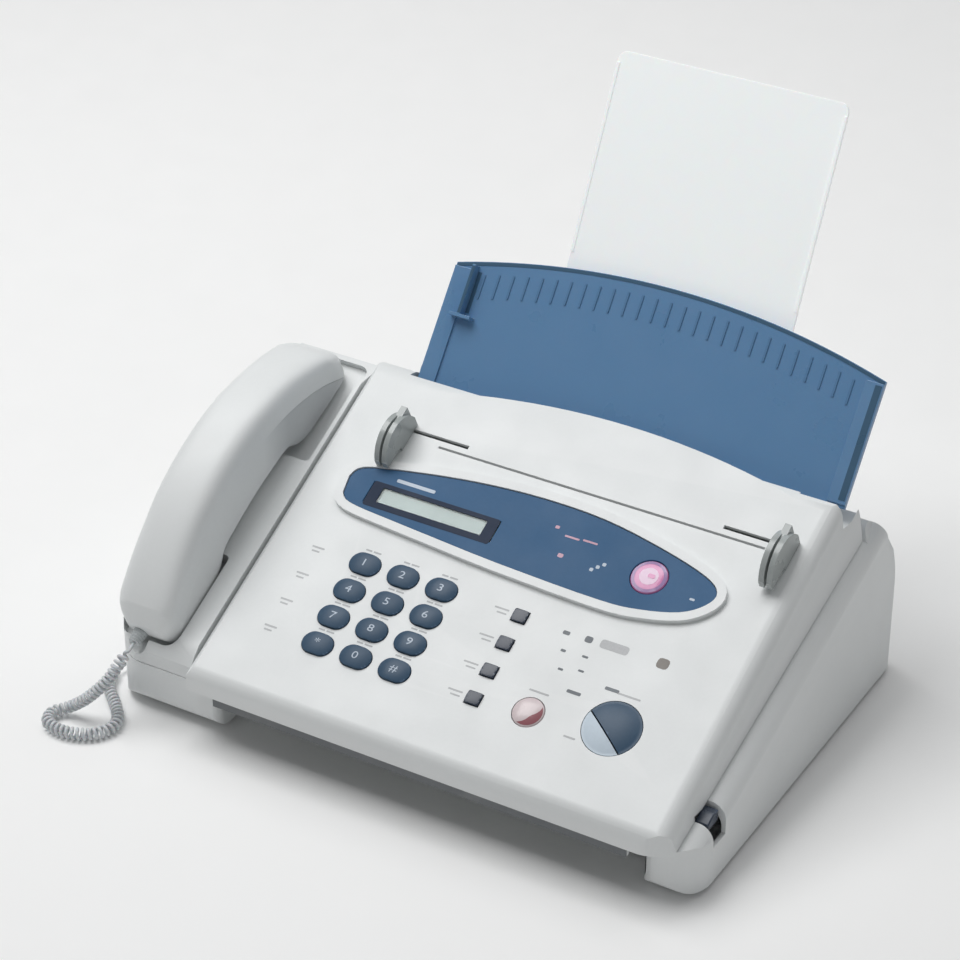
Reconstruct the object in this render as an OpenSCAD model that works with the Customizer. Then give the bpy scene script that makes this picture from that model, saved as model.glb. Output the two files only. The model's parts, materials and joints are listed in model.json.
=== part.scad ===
// Thermal-transfer fax machine with a corded handset.
// +X is the operator's right, +Y runs to the back, +Z is up; the origin is under the middle of the whole box.

/* [Case] */
// Width of the case over both cheeks
body_w = 370; // [368:1:376]
// Wall thickness of the mouldings
wall = 2.5; // [2.2:0.1:2.8]
// Slope of the control panel in degrees
panel_slope = 25.5; // [25:0.1:26]

/* [Keys] */
// Sideways pitch of the digit keys
key_pitch_x = 24.8; // [24:0.1:25.2]
// Pitch of the key rows along the slope
key_pitch_s = 18.35; // [18:0.05:18.6]
// Height that the keys stand above the panel
key_rise = 2.6; // [2:0.1:3.2]

/* [Handset] */
// Width of the handset
handset_w = 38.5; // [37:0.5:39]
// Radius of the handset's arched back
crown_r = 156; // [155:0.5:157]

/* [Paper] */
// Width of the blue paper cover
cover_w = 272; // [268:1:272]
// Width of the paper support plate
support_w = 144; // [130:1:146]
// Length of the paper support plate
support_len = 208; // [150:1:208]

/* [Hidden] */

$fn = 48;
case_y = -155.07;
half_w = body_w / 2;

// Colours
shell_white = [0.90, 0.91, 0.90];
key_blue = [0.16, 0.24, 0.40];
cover_blue = [0.38, 0.52, 0.72];
board_green = [0.12, 0.35, 0.22];
steel = [0.72, 0.73, 0.75];
dark = [0.18, 0.18, 0.20];

// Main planes: z = panel_z + y * tan(panel_slope) is the panel, z = seam_z + y * tan(seam_slope) the seam
panel_z = 47.7;
seam_z = 31.7;
seam_slope = 19.47;
seam_gap = 0.4;
lid_left = -127;
lid_right = half_w - 6.5;
lid_rear = 212;
lid_front = -7.6;
pocket_y = 194.5;
deck_x = 34;
deck_r = 512;
deck_edge_y = 200.5;

// Case
floor_z = 3;
floor_top = 5.5;
corner_front = 22;
cheek_l = -112;
cheek_r = 152;
front_wall_y = 26.5;
corner_rear = 14;
hump_y = 212.6;
bay_left = -126.5;
bay_right = 149.5;
tray_left = -108;
rear_outline = curve([[hump_y, 106.6], [215, 110.2], [219, 112.9], [224, 112.6], [230, 107], [238, 92],
                      [246, 68], [251, 47], [255, 24],
                      [256, 12], [252, floor_z]], 5);
screw_at = [[-140, 60], [-140, 200], [168, 60], [168, 200]];
foot_x = 166;
foot_y = [24, 232];
hinge_y = 228;
hinge_z = 98;
hinge_pin_r = 4;
running_gap = 0.05;

// Drive train, (y, z) of each axis
tooth_m = 1;
gear_x0 = -116;
gear_w = 5;
plate_l = -108;
plate_r = 142;
plate_t = 2;
platen_at = [62, 38];
n_platen = 36;
n_pinion = 12;
n_idler = 40;
n_feed = 24;
n_take = 18;
a_pinion = 45;
a_idler = 20;
a_feed = 35;
a_take = 229.7;
pinion_at = platen_at + mesh_step(n_platen, n_pinion, a_pinion);
idler_at = pinion_at + mesh_step(n_pinion, n_idler, a_idler);
feed_at = idler_at + mesh_step(n_idler, n_feed, a_feed);
take_at = platen_at + mesh_step(n_platen, n_take, a_take);
supply_at = [92, 21];
p_pinion = mesh_phase(a_pinion, 0, n_platen, n_pinion);
p_idler = mesh_phase(a_idler, p_pinion, n_pinion, n_idler);
p_feed = mesh_phase(a_feed, p_idler, n_idler, n_feed);
p_take = mesh_phase(a_take, 0, n_platen, n_take);
roll_x0 = -84;
roll_x1 = 135;
shaft_r = 4;
pin_r = 3;

// Panel layout, (x, s) on the slope
key_x0 = -63.5;
key_s0 = 88;
key_a = 9.5;
key_b = 6.6;
key_gap = 0.4;
key_labels = ["key_1", "key_2", "key_3", "key_4", "key_5", "key_6", "key_7", "key_8", "key_9", "key_star",
              "key_0", "key_hash"];
function_x = 36;
stop_at = [68, 36];
stop_r = 9;
start_at = [115, 43];
start_r = 16.5;
split_d = -4.3;
split_angle = 53.6;
message_at = [93, 134];
message_r = 10.5;
oval = curve([[-100.5, 137], [-95, 145], [-66, 151.6], [-27, 157.6], [13, 160.4], [53, 159.2], [92, 152.6],
              [122, 144.5], [132.5, 137], [130, 128], [118.5, 119.2], [97, 113.4], [73, 111.4], [9, 113.4],
              [-59, 118], [-91, 121], [-98.6, 126]], 4);
pod_top = 3;
bezel_top = 2.2;
pocket_floor = 0.4;
window = [-85, 124.4, 83, 14.4];
slot_y = [155.6, 157];
slot_x = [-62, 144];
rail_s = [177.4, 179.8];
guide_x = [-85, 156.5];
guide_travel = 36;

// Paper cover and support plate
cover_at = [197.5, 133.4];
cover_slope = 51.4;
cover_t = 2.5;
cover_left = -101;
cover_end_h = 73.4;
cover_mid_h = 91.6;
cover_axis = [208, 136];
support_at = [258.5, 202];
support_slope = 62.3;
support_x = 36;
support_t = 1.8;
support_top_v = 124;

// Handset, (s, h) in the panel's frame
crown_at = [106, 50 - crown_r];
handset_x = -half_w + 3.5 + handset_w / 2;
parting_drop = 17;
cup_h = -11.5;
well_h = -12.5;
handset_side = concat(arc_points(crown_at, crown_r, 127.5, 54.3, 30),
                      curve([[203, 14.5], [208.5, 7], [212, -1], [211.4, -7], [206.6, -10.8], [200, cup_h],
                             [168, cup_h], [160, cup_h + 0.8], [150, -7], [142, 0.4], [126, 2.6], [104, 3.4],
                             [82, 2.6], [68, 0.6], [60, -6], [51, cup_h + 0.8], [43, cup_h], [20, cup_h],
                             [11, cup_h + 0.8], [6, -5], [5, 6]], 4));
hook_s = 176;

// Handset cord: the outer tube of the curl, then the straight tail
coil_r = 3.9;
tail_r = 1.5;
cord_exit = [handset_x - 4, -1.3, 44.86];
cord_route = [cord_exit, cord_exit + [0, -5.4, -2.58], [-168, -13, 38], [-172, -19, 29], [-179, -23, 20],
              [-187, -25, 12], [-196, -27, 5.4], [-202, -34, 4.2], [-198, -43, 4.2], [-185, -45, 4.2],
              [-172, -40, 4.2], [-165, -30, 4.2], [-167, -20, 4.2], [-176, -10, 4.2], [-187, 0, 4.2],
              [-194, 12, 4.2], [-193, 26, 5], [-187, 39, 9.5], [-180, 50, 14.6], [-178, 61, 16]];
cord_steps = 3;
plug_x = -178;
plug_z = 16;

// ---- Functions ----
function catmull(a, b, c, d, t) =
  0.5 * (2 * b + (c - a) * t + (2 * a - 5 * b + 4 * c - d) * t * t + (3 * b - a - 3 * c + d) * t * t * t);
function curve(p, n) =
  [for (i = [0 : len(p) - 2], k = [0 : (i == len(p) - 2 ? n : n - 1)])
    catmull(p[max(i - 1, 0)], p[i], p[i + 1], p[min(i + 2, len(p) - 1)], k / n)];
function arc_points(c, r, a0, a1, n) =
  [for (i = [0 : n]) let (a = a0 + (a1 - a0) * i / n) c + r * [cos(a), sin(a)]];
function unit(v) = v / norm(v);
// A closed outline moved sideways by g; positive g is to the left of its run
function shifted(p, g) =
  [for (i = [0 : len(p) - 1])
    let (d = unit(p[(i + 1) % len(p)] - p[(i + len(p) - 1) % len(p)])) p[i] + g * [-d[1], d[0]]];
function mesh_step(n_a, n_b, a) = (n_a + n_b) * tooth_m / 2 * [cos(a), sin(a)];
// Angle of a tooth of gear b that meshes with gear a, seen from a along direction a_dir
function mesh_phase(a_dir, phase_a, n_a, n_b) = a_dir + 180 + ((a_dir - phase_a) * n_a - 180) / n_b;
function panel_height(y) = panel_z + y * tan(panel_slope);
function seam_height(y) = seam_z + y * tan(seam_slope);
function key_at(i) = [key_x0 + key_pitch_x * (i % 3), key_s0 - key_pitch_s * floor(i / 3)];
function function_at(i) = [function_x, key_s0 - key_pitch_s * i];

// ---- Placing ----
module in_case() translate([0, case_y, 0]) children();
module on_panel() in_case() translate([0, 0, panel_z]) rotate([panel_slope, 0, 0]) children();
module on_cover() in_case() translate([0, cover_at[0], cover_at[1]]) rotate([cover_slope, 0, 0]) children();
module on_support() in_case() translate([0, support_at[0], support_at[1]]) rotate([support_slope, 0, 0])
  children();
// A (y, z) outline drawn from x0 to x1
module across(x0, x1) translate([x0, 0, 0]) rotate([90, 0, 90]) linear_extrude(x1 - x0) children();
module box(lo, hi) translate(lo) cube(hi - lo);
module bar(at, r, x0, x1) translate([x0, at[0], at[1]]) rotate([0, 90, 0]) cylinder(h = x1 - x0, r = r);
module area(x0, y0, x1, y1) translate([x0, y0]) square([x1 - x0, y1 - y0]);
module round_area(x0, y0, x1, y1, rf, rr) {
  area(x0, y0 + rf, x1, y1 - rr);
  area(x0 + rf, y0, x1 - rf, y0 + rf);
  area(x0 + rr, y1 - rr, x1 - rr, y1);
  for (x = [x0 + rf, x1 - rf]) translate([x, y0 + rf]) circle(rf);
  for (x = [x0 + rr, x1 - rr]) translate([x, y1 - rr]) circle(rr);
}
module oval_area(a, b) {
  area(b - a, -b, a - b, b);
  for (x = [b - a, a - b]) translate([x, 0]) circle(b);
}

// ---- Base ----
module base_side(inset) {
  rear = [for (q = rear_outline) q - [inset, 0]];
  polygon(concat(arc_points([11 + inset, floor_z + 11], 11, 270, 180, 6),
                 [[inset, seam_height(0) - seam_gap - inset],
                  [hump_y - inset, seam_height(hump_y) - seam_gap - inset]],
                 [for (q = rear) [q[0], q[1] - inset * (q[1] > 60 ? 1 : 0)]]));
}
module shoulder_section(x0, x1, r) {
  area(x0, -240, x1, -r);
  area(x0 + r, -r - 1, x1 - r, 0);
  for (x = [x0 + r, x1 - r]) translate([x, -r]) circle(r);
}
module base_plan() intersection() {
  round_area(-half_w, 0, half_w, 257, corner_front, corner_rear);
  union() {
    area(-half_w, front_wall_y, half_w, 257);
    round_area(-half_w - 30, 0, cheek_l, 60, 6, 6);
    round_area(cheek_r, 0, half_w + 30, 60, 12, 6);
  }
}
module base_outer() {
  intersection() {
    across(-half_w, half_w) base_side(0);
    linear_extrude(130) base_plan();
    union() {
      translate([0, 0, seam_z - seam_gap]) rotate([seam_slope, 0, 0]) translate([0, 240, 0]) rotate([90, 0, 0])
        linear_extrude(330) shoulder_section(-half_w, half_w, 9);
      translate([0, 300, 0]) rotate([90, 0, 0]) linear_extrude(300 - hump_y)
        polygon([[-half_w, 0], [half_w, 0], [half_w, 88], [half_w - 4, 104], [half_w - 10, 114],
                 [half_w - 18, 119], [tray_left - 1, 119], [tray_left - 12, 107], [14 - half_w, 106],
                 [5 - half_w, 100], [-half_w, 88]]);
    }
  }
}
module cheek_hollow(x0, x1) {
  intersection() {
    across(x0, x1) base_side(wall + 0.5);
    translate([0, 0, floor_top]) linear_extrude(108 - floor_top)
      round_area(wall - half_w, wall + 0.5, half_w - wall, 253, corner_front - wall, corner_rear - wall);
    translate([0, 0, seam_z - 5]) rotate([seam_slope, 0, 0]) translate([0, 260, 0]) rotate([90, 0, 0])
      linear_extrude(360) shoulder_section(-half_w + wall, half_w - wall, 9);
  }
}
module rear_hollow() {
  across(tray_left, bay_right) polygon(concat([[hump_y - 1, floor_top], [hump_y - 1, 130]],
    [for (q = rear_outline) if (q[1] > floor_top + 2) q - [wall, 0]], [[250, floor_top]]));
}
module jack_blocks() {
  box([-half_w + wall, 32, floor_top], [-164, 96, 28]);
  box([-154, 232, floor_top], [-112, 254, 30]);
  box([86, 232, floor_top], [124, 253, 34]);
}
module base_case() color(shell_white) in_case() difference() {
  union() {
    difference() {
      base_outer();
      box([bay_left, front_wall_y + wall, floor_top], [bay_right, hump_y, 200]);
      rear_hollow();
      cheek_hollow(bay_right + 3, half_w - wall);
      cheek_hollow(-half_w + wall, bay_left - 3);
      intersection() {
        cheek_hollow(-half_w + wall, cheek_l - wall);
        box([-half_w, 3, 0], [0, front_wall_y, 200]);
      }
      box([bay_left - 4, 150, 20], [bay_left + 1, 200, 60]);
      box([bay_right - 1, 60, 12], [bay_right + 4, 180, 34]);
      // Above the left cheek the cradle takes over
      box([-half_w + wall + 7, 34, seam_z - 8], [bay_left - 3, hump_y - 4, 120]);
    }
    intersection() {
      base_outer();
      jack_blocks();
    }
    for (at = screw_at) translate([at[0], at[1], floor_top - 0.5]) cylinder(h = 6, r = 3.4);
  }
  // Recording paper comes out over the front wall
  box([cheek_l + 6, front_wall_y - 1, 19], [bay_right - 4, front_wall_y + wall + 1, 60]);
  // The tray and the hinge arms swing over the rear wall
  box([tray_left, 205, 86], [bay_right, 262, 130]);
  bar([hinge_y, hinge_z], hinge_pin_r + running_gap, tray_left - 18, tray_left + 1);
  bar([hinge_y, hinge_z], hinge_pin_r + running_gap, bay_right - 1, bay_right + 12);
  // Cord recess and the pockets for the sockets
  box([-half_w - 1, 34, 8.5], [-171, 74, 24]);
  box([-183, 73, 10.5], [-173, 88.2, 21.5]);
  box([-151.5, 226, 9], [-114.5, 244.2, 28]);
  box([-150.5, 244, 10], [-115.5, 260, 27]);
  box([91.5, 226, 8], [120.5, 244.2, 31]);
  box([92.5, 244, 9], [119.5, 260, 30]);
  // Pockets for the latch, slots over the speaker and holes for the screws
  box([half_w - 15.5, 22, 26], [half_w + 1, 36, 60]);
  for (i = [0 : 6]) box([-170 + 4 * i, 122, floor_z - 1], [-168 + 4 * i, 158, floor_top + 1]);
  for (at = screw_at) translate([at[0], at[1], floor_z - 1]) cylinder(h = 9, r = 1.6);
}

module cradle_side(top) {
  slope_end = panel_height(180) + top;
  polygon([[0.4, seam_height(0) + 0.2], [0.4, 40], [3, 44], [9, panel_height(9) + top], [180, slope_end],
           [196, slope_end + 0.5], [203, slope_end], [207, slope_end - 4], [210, slope_end - 12],
           [211, seam_height(211) + 2], [211, seam_height(211) + 0.2]]);
}
module handset_cradle() color(shell_white) in_case() difference() {
  intersection() {
    across(-half_w, lid_left - 2) cradle_side(-1.6);
    linear_extrude(160) round_area(-half_w, 0, 0, 230, corner_front, corner_rear);
    translate([0, 0, panel_z - 1.6]) rotate([panel_slope, 0, 0]) translate([0, 240, 0]) rotate([90, 0, 0])
      linear_extrude(330) shoulder_section(-half_w, 0, 8);
  }
  // Wells for the mouth and ear ends of the handset
  translate([0, 0, panel_z]) rotate([panel_slope, 0, 0]) {
    x0 = handset_x - handset_w / 2 - 0.8;
    x1 = handset_x + handset_w / 2 + 0.8;
    translate([0, 0, well_h]) linear_extrude(20) {
      round_area(x0, 3, x1, 67, 9, 3);
      // The ear end's well leaves room at its side for a finger
      round_area(x0, 139.5, lid_left - 4.5, 214.5, 3, 9);
    }
    translate([cord_exit[0], 4, -4]) rotate([90, 0, 0]) cylinder(h = 20, r = 6);
    box([cord_exit[0] - 6, -14, -4], [cord_exit[0] + 6, 4, 10]);
    translate([handset_x, hook_s, -40]) cylinder(h = 40, r = 3.3);
  }
  // Hollow underside
  intersection() {
    across(-half_w + 8, lid_left - 5) polygon([[36, 20], [36, panel_height(36) - 16.6],
      [205, panel_height(205) - 16.6], [205, 60]]);
    box([-half_w + 8, 36, 20], [lid_left - 5, 205, 140]);
  }
}
module rubber_feet() color(dark) in_case()
  for (x = [-foot_x, foot_x], y = foot_y) translate([x, y, 0]) cylinder(h = floor_z, r = 8);
module case_screws() color(steel) in_case() for (at = screw_at) translate([at[0], at[1], 0.8]) {
  cylinder(h = floor_z - 0.8, r = 3);
  cylinder(h = 9, r = 1.5);
}

// ---- Mechanism ----
module gear_2d(teeth, phase) {
  r = teeth * tooth_m / 2;
  tooth = 360 / teeth;
  root = r - 1.15 * tooth_m;
  tip = r + 0.8 * tooth_m;
  polygon([for (i = [0 : teeth - 1], c = [[root, -0.33], [tip, -0.13], [tip, 0.13], [root, 0.33]])
    let (a = phase + tooth * (i + c[1])) c[0] * [cos(a), sin(a)]]);
}
module gear(at, teeth, phase, bore) difference() {
  translate([0, at[0], at[1]]) across(gear_x0, gear_x0 + gear_w) gear_2d(teeth, phase);
  bar(at, bore, gear_x0 - 1, gear_x0 + gear_w + 1);
}
module side_frames() color(steel) in_case() {
  difference() {
    for (x = [plate_l, plate_r]) across(x, x + plate_t)
      polygon([[31, floor_top], [31, 29], [50, 52], [124, 97], [140, 97], [144, 60], [120, floor_top]]);
    for (at = [platen_at, feed_at, take_at, supply_at])
      bar(at, (at == platen_at ? shaft_r : pin_r) + running_gap, plate_l - 1, plate_r + plate_t + 1);
    bar(pinion_at, 5, plate_l - 1, plate_l + plate_t + 1);
  }
  bar(idler_at, pin_r, gear_x0 - 1, plate_l);
}
module platen_roller() color(dark) in_case() {
  bar(platen_at, 9, roll_x0, roll_x1);
  bar(platen_at, shaft_r, gear_x0 - 2, plate_r + plate_t + 2);
}
module platen_gear() color("ivory") in_case() gear(platen_at, n_platen, 0, shaft_r);
module motor_pinion() color("gold") in_case() {
  gear(pinion_at, n_pinion, p_pinion, 1.5);
  bar(pinion_at, 1.5, gear_x0, plate_l + plate_t - 0.3);
}
module idler_gear() color("ivory") in_case() gear(idler_at, n_idler, p_idler, pin_r + running_gap);
module feed_roller() color("gray") in_case() {
  bar(feed_at, pin_r, gear_x0 - 1, plate_r + plate_t + 2);
  for (x = [-70, -20, 40, 90]) bar(feed_at, 8.5, x, x + 22);
  gear(feed_at, n_feed, p_feed, pin_r);
}
module supply_spool() color(dark) in_case() {
  bar(supply_at, pin_r, plate_l - 1, plate_r + plate_t + 1);
  bar(supply_at, 13, roll_x0, roll_x1);
}
module take_up_spool() color("dimgray") in_case() {
  bar(take_at, pin_r, gear_x0 - 1, plate_r + plate_t + 1);
  bar(take_at, 6, roll_x0, roll_x1);
  for (x = [roll_x0 - 2, roll_x1]) bar(take_at, 8.2, x, x + 2);
  gear(take_at, n_take, p_take, pin_r);
}
module print_head() color(steel) in_case() {
  box([roll_x0, 57, 12], [roll_x1, 75, 25.5]);
  box([roll_x0 + 4, 59.5, 25.5], [roll_x1 - 4, 64.5, 28.6]);
  for (x = [-70, 25, 120]) box([x, 60, floor_top], [x + 8, 72, 12]);
}
module exit_guide() color(shell_white) in_case() {
  across(-105, 141) polygon([[29.2, 22], [29.2, 23.5], [50, 29.6], [50, 28.2]]);
  for (x = [-100, 20, 134]) box([x, 29.2, floor_top], [x + 4, 33, 23.2]);
}
module image_sensor() color(dark) in_case() {
  box([plate_l + plate_t, 101, 66], [plate_r, 113, 78]);
  box([-74, 103, 78], [142 - 24, 111, 79.2]);
}
module main_board() color(board_green) in_case() {
  box([0, 128, 10], [135, 226, 11.6]);
  box([20, 150, 11.6], [44, 174, 13.6]);
  box([60, 150, 11.6], [78, 162, 13.2]);
  box([60, 186, 11.6], [110, 192, 18]);
  for (x = [4, 126], y = [132, 218]) translate([x + 2, y + 2, floor_top]) cylinder(h = 4.5, r = 3);
}
module power_board() color([0.55, 0.45, 0.2]) in_case() {
  box([-104, 128, 10], [-12, 224, 11.6]);
  box([-80, 165, 11.6], [-52, 193, 36]);
  for (y = [145, 205]) translate([-32, y, 11.6]) cylinder(h = 22, r = 8);
  box([-98, 140, 11.6], [-92, 190, 34]);
  for (x = [-100, -20], y = [132, 216]) translate([x + 2, y + 2, floor_top]) cylinder(h = 4.5, r = 3);
}
module speaker() color(dark) in_case() translate([-157, 140, floor_top]) {
  cylinder(h = 4, r = 22);
  translate([0, 0, 4]) cylinder(h = 8, r = 13);
}
module feed_motor() color(steel) in_case() difference() {
  union() {
    bar(pinion_at, 17.5, plate_l + plate_t, plate_l + plate_t + 18);
    bar(pinion_at, 3, plate_l + plate_t + 18, plate_l + plate_t + 20);
  }
  bar(pinion_at, 1.8, plate_l, plate_l + plate_t + 4);
}
module socket_block(lo, hi, wells) difference() {
  box(lo, hi);
  for (w = wells) box(w[0], w[1]);
}
module line_jacks() color(dark) in_case()
  socket_block([-150.8, 229, 9.6], [-115.2, 243.6, 27.4],
               [for (x = [-147, -130]) [[x, 233, 13], [x + 11, 245, 22.5]]]);
module power_inlet() color(dark) in_case()
  socket_block([92, 229, 8.6], [120, 243.6, 30.4], [[[95.5, 231, 11.5], [116.5, 245, 27.5]]]);
module handset_jack() color("gold") in_case()
  socket_block([-182.8, 74.2, 10.7], [-173.2, 88, 21.3], [[[-181.2, 73, 12.8], [-174.8, 84, 19.2]]]);
module hook_switch() color(dark) on_panel() translate([handset_x, hook_s, 0]) {
  translate([0, 0, -24]) cylinder(h = 24 + cup_h - 1, r = 3);
  translate([0, 0, -26]) cylinder(h = 2, r = 5);
}
module cover_latch() color([0.35, 0.36, 0.38]) in_case() {
  across(half_w - 12, half_w - 4) polygon([[23, 34.5], [35, 34.5], [35, 41.5], [29, 41.5], [23, 38.5]]);
}

// ---- Top cover ----
module lid_side(inset) {
  nose = 9;
  tail = 18;
  n = [-sin(panel_slope), cos(panel_slope)];
  front = [lid_front + 5.1, panel_height(lid_front + 5.1)];
  rear = [186, panel_height(186)];
  front_c = front - n * nose;
  rear_c = rear - n * tail;
  drop = inset > 0 ? 60 : 0;
  translate(front_c) intersection() {
    circle(nose - inset);
    area(-nose, 0, 0, nose);
  }
  translate(rear_c) intersection() {
    circle(tail - inset);
    area(-tail, 0, tail, tail);
  }
  polygon([[front_c[0] - nose + inset, 31 - drop], [front_c[0] - nose + inset, front_c[1]], front_c,
           front - n * inset, rear - n * inset, rear_c, [rear_c[0] + tail - inset, rear_c[1]],
           [rear_c[0] + tail - inset, seam_height(rear_c[0] + tail) - drop], [0, seam_z - drop]]);
}
module lid_section(inset) {
  r = 9 - inset;
  x_top = lid_right - 15;
  translate([x_top, -9]) circle(r);
  polygon([[lid_left + inset, -110], [lid_left + inset, -3 - inset], [lid_left + 3 + inset, -inset],
           [x_top, -inset], [x_top + r, -9], [lid_right - inset, -46], [lid_right - inset, -110]]);
}
module lid_prism(inset) translate([0, 0, panel_z]) rotate([panel_slope, 0, 0]) translate([0, 260, 0])
  rotate([90, 0, 0]) linear_extrude(360) lid_section(inset);
module lid_body() intersection() {
  across(lid_left, lid_right) lid_side(0);
  lid_prism(0);
  difference() {
    box([lid_left, -20, 0], [lid_right, 220, 200]);
    translate([lid_right - 24, lid_front + 24, -1]) difference() {
      box([0, -40, 0], [40, 0, 200]);
      cylinder(h = 200, r = 24);
    }
  }
}
module lid_cavity() intersection() {
  across(lid_left + wall, lid_right - wall) lid_side(wall);
  lid_prism(wall);
  box([lid_left, -20, 0], [lid_right, pocket_y - wall, 200]);
  difference() {
    box([lid_left, -20, 0], [lid_right, 220, 200]);
    translate([lid_right - 24, lid_front + 24, -1]) difference() {
      box([0, -40, 0], [40, 0, 200]);
      cylinder(h = 200, r = 24 - wall);
    }
  }
}
module deck() intersection() {
  translate([deck_x, deck_edge_y - deck_r, 0]) cylinder(h = 200, r = deck_r, $fn = 288);
  across(-104, 172) polygon([[186, panel_height(186)], [204, panel_height(204)],
                             [204, panel_height(204) - 3], [186, panel_height(186) - 3]]);
}
module key_holes() {
  for (i = [0 : 11]) translate(key_at(i)) oval_area(key_a + key_gap, key_b + key_gap);
  for (i = [0 : 3]) translate(function_at(i)) area(-4.7, -4.2, 4.7, 4.2);
  translate(stop_at) circle(stop_r + key_gap);
  translate(start_at) circle(start_r + key_gap);
}
module top_cover() color(shell_white) union() {
  difference() {
    union() {
      in_case() difference() {
        lid_body();
        lid_cavity();
        box([-104, pocket_y, 60], [147, 230, 200]);
        box([146, pocket_y - 1.5, 124], [half_w - 11, 230, 200]);
        // Clearance round the cover latch
        box([half_w - 15.5, 22, 20], [half_w + 1, 36, 42.2]);
      }
      on_panel() translate([0, 0, -1]) linear_extrude(pod_top + 1) polygon(shifted(oval, 5.5));
    }
    on_panel() {
      translate([0, 0, pocket_floor]) linear_extrude(10) polygon(shifted(oval, 0.3));
      translate([0, 0, -10]) linear_extrude(12) {
        area(window[0] + 2, window[1] + 2, window[0] + window[2] - 2, window[1] + window[3] - 2);
        translate(message_at) circle(message_r + key_gap);
        key_holes();
      }
      // Rails for the feet of the document guides
      for (x = [guide_x[0], guide_x[1] - guide_travel])
        box([x - 4, rail_s[0], -20], [x + guide_travel + 4, rail_s[1], 5]);
    }
    // Documents go in here
    in_case() box([slot_x[0], slot_y[0], 100], [slot_x[1], slot_y[1], 140]);
  }
  in_case() deck();
  in_case() box([cheek_l + 2, lid_front + 1.4, 25.5], [bay_right - 0.5, lid_front + 4, 36]);
}
module paper_tray() color(shell_white) in_case() {
  rib = [[194.7, 104], [222, 91.5], [228, 90.5], [235.5, 98], [236, 118], [250, 168], [249, 173], [240, 171],
         [220, 148], [211.5, 138.6], [205.2, 136.5], [205.2, 122], [194.7, 116]];
  for (x = [-103.6, 143.6]) difference() {
    across(x, x + 3) union() {
      polygon(rib);
      translate(cover_axis) circle(3.3);
    }
    bar([hinge_y, hinge_z], hinge_pin_r, x - 1, x + 4);
  }
  bar(cover_axis, 2, -100.6, -96);
  bar(cover_axis, 2, 139, 143.6);
  across(-100.6, 143.6) polygon([for (z = [109, 172], d = [2.6, 5.2])
    support_point(z) + [d, 0]], [[0, 2, 3, 1]]);
  // Floor behind the recording paper
  across(-100.7, 143.7)
    polygon([[212.4, 109.6], [212.4, 99], [222, 94], [228, 93], [234.2, 99.4], [232.4, 101.2], [227.4, 95.6],
             [222.6, 96.6], [215, 100.6], [215, 109.6]]);
  // Channels that hold the support plate
  for (x = [support_x - support_w / 2 - 2, support_x + support_w / 2 + 2]) across(x - 1.6, x + 1.6)
    polygon([support_point(131) + [-2, 0], support_point(131) + [3, 0], support_point(170) + [3, 0],
             support_point(170) + [-2, 0]]);
}
function support_point(z) = [support_at[0] + (z - support_at[1]) / tan(support_slope), z];
module hinge_pins() color(steel) in_case() {
  bar([hinge_y, hinge_z], hinge_pin_r, tray_left - 14, -100.6);
  bar([hinge_y, hinge_z], hinge_pin_r, 143.6, bay_right + 10);
}
module lcd_bezel() color(cover_blue) on_panel() difference() {
  translate([0, 0, pocket_floor]) linear_extrude(bezel_top - pocket_floor) polygon(oval);
  translate([0, 0, -1]) linear_extrude(8) {
    translate([window[0], window[1]]) square([window[2], window[3]]);
    translate(message_at) circle(message_r + key_gap);
  }
}
module lcd_window() color([0.75, 0.8, 0.75, 0.5]) on_panel() translate([0, 0, pocket_floor])
  linear_extrude(1.4) area(window[0] + 0.15, window[1] + 0.15, window[0] + window[2] - 0.15,
                           window[1] + window[3] - 0.15);
module lcd_module() color([0.6, 0.68, 0.6]) on_panel() {
  box([-80, 120, -8], [-6, 142, -3.2]);
  box([-77, window[1] + 2.4, -3.2], [-10, window[1] + 12, pocket_floor - 0.4]);
}
module panel_board() color(board_green) on_panel() {
  box([-80, 22, -10.6], [133, 98, -9]);
  box([60, 98, -10.6], [112, 144, -9]);
  box([-78, 99, -10.6], [-8, 140, -9]);
  box([-40, 97.5, -10.6], [-10, 99.5, -9]);
}
module guide_fin() {
  for (x = [-1, 1]) translate([x * 2.4 - 1.6, 0, 0]) rotate([90, 0, 90]) linear_extrude(3.2) {
    area(148.5, pod_top + 0.4, 183, 8);
    area(164, 0.3, 183, 8);
    area(153, 8, 178, 11);
    translate([165.75, 2]) intersection() {
      circle(18);
      area(-17.2, pod_top - 1.6, 17.2, 18);
    }
  }
}
module document_guide(x, inward) on_panel() translate([x, 0, 0]) {
  guide_fin();
  box([-2, 164, 0.3], [2, 182.5, 17]);
  box([-3, rail_s[0] + 0.4, -5.5], [3, rail_s[1] - 0.4, 0.3]);
  box([min(-6, inward * 14), rail_s[0] - 3, -7], [max(6, inward * 14), rail_s[1] + 3, -5.5]);
}
module guide_left() color([0.82, 0.84, 0.84]) document_guide(guide_x[0], 1);
module guide_right() color([0.82, 0.84, 0.84]) document_guide(guide_x[1], -1);

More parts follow.
